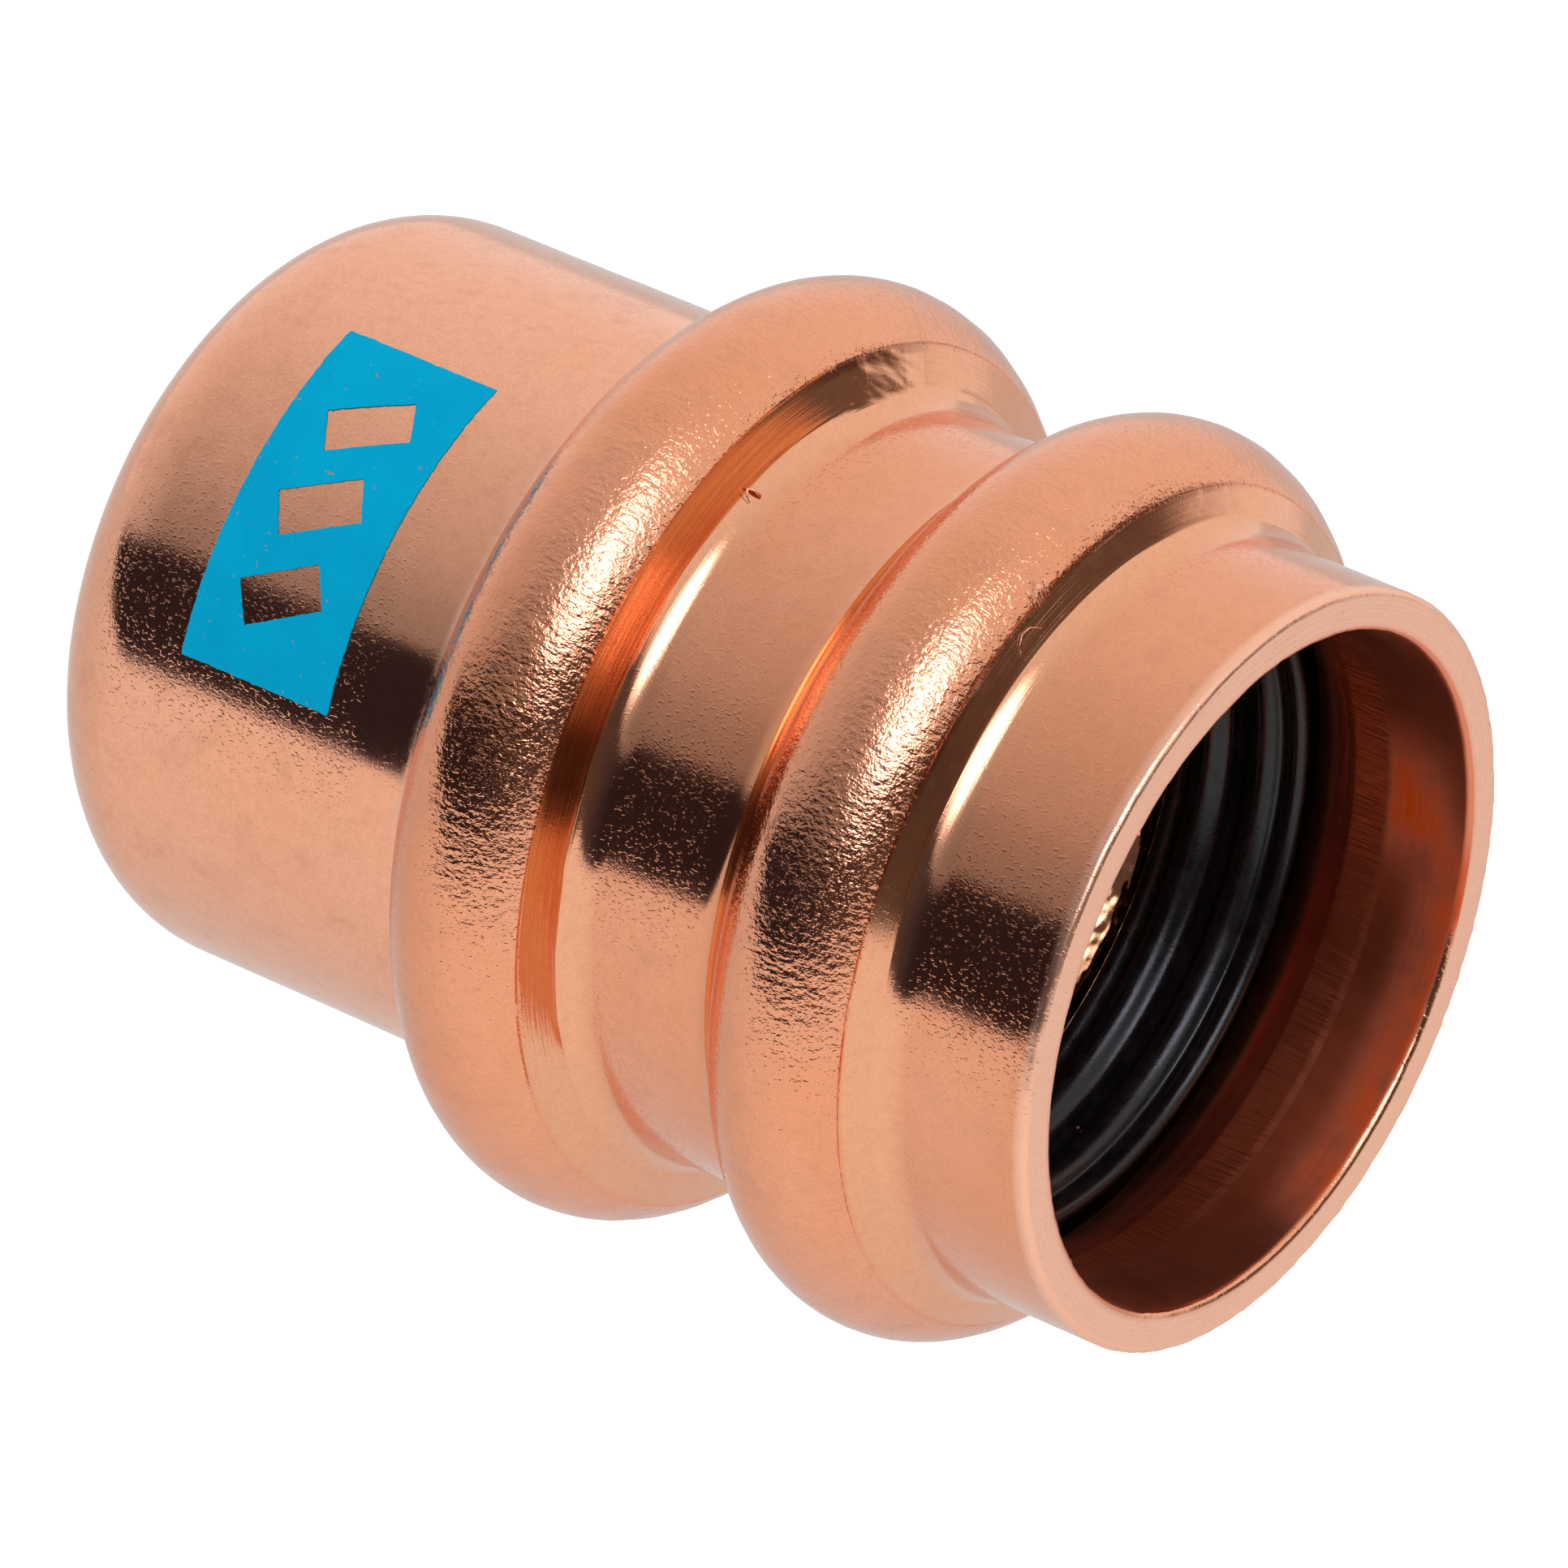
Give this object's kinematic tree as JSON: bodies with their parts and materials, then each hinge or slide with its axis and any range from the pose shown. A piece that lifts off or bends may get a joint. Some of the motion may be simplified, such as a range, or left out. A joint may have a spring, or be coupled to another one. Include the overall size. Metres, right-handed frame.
{
  "type": "press end cap",
  "caption": "Copper press-fit end cap for refrigeration tube: open socket with raised seal beads, a rubber ring in each, plain barrel and rounded flat closed end.",
  "frame": {"origin": "centre of the closed end's flat outer face, on the socket's axis", "axes": "+Z along the socket's axis, out of the mouth. -Y is the side that the printed mark is on."},
  "size_m": [0.0315, 0.0314, 0.0398],
  "materials": {
    "copper": "satin drawn copper",
    "seal_rubber": "smooth moulded black rubber, lightly greased",
    "blue_ink": "thin printed ink"
  },
  "bodies": {
    "root": {"fitting_body": "copper", "front_seal_ring": "seal_rubber", "rear_seal_ring": "seal_rubber", "printed_mark": "blue_ink"}
  },
  "joints": []
}
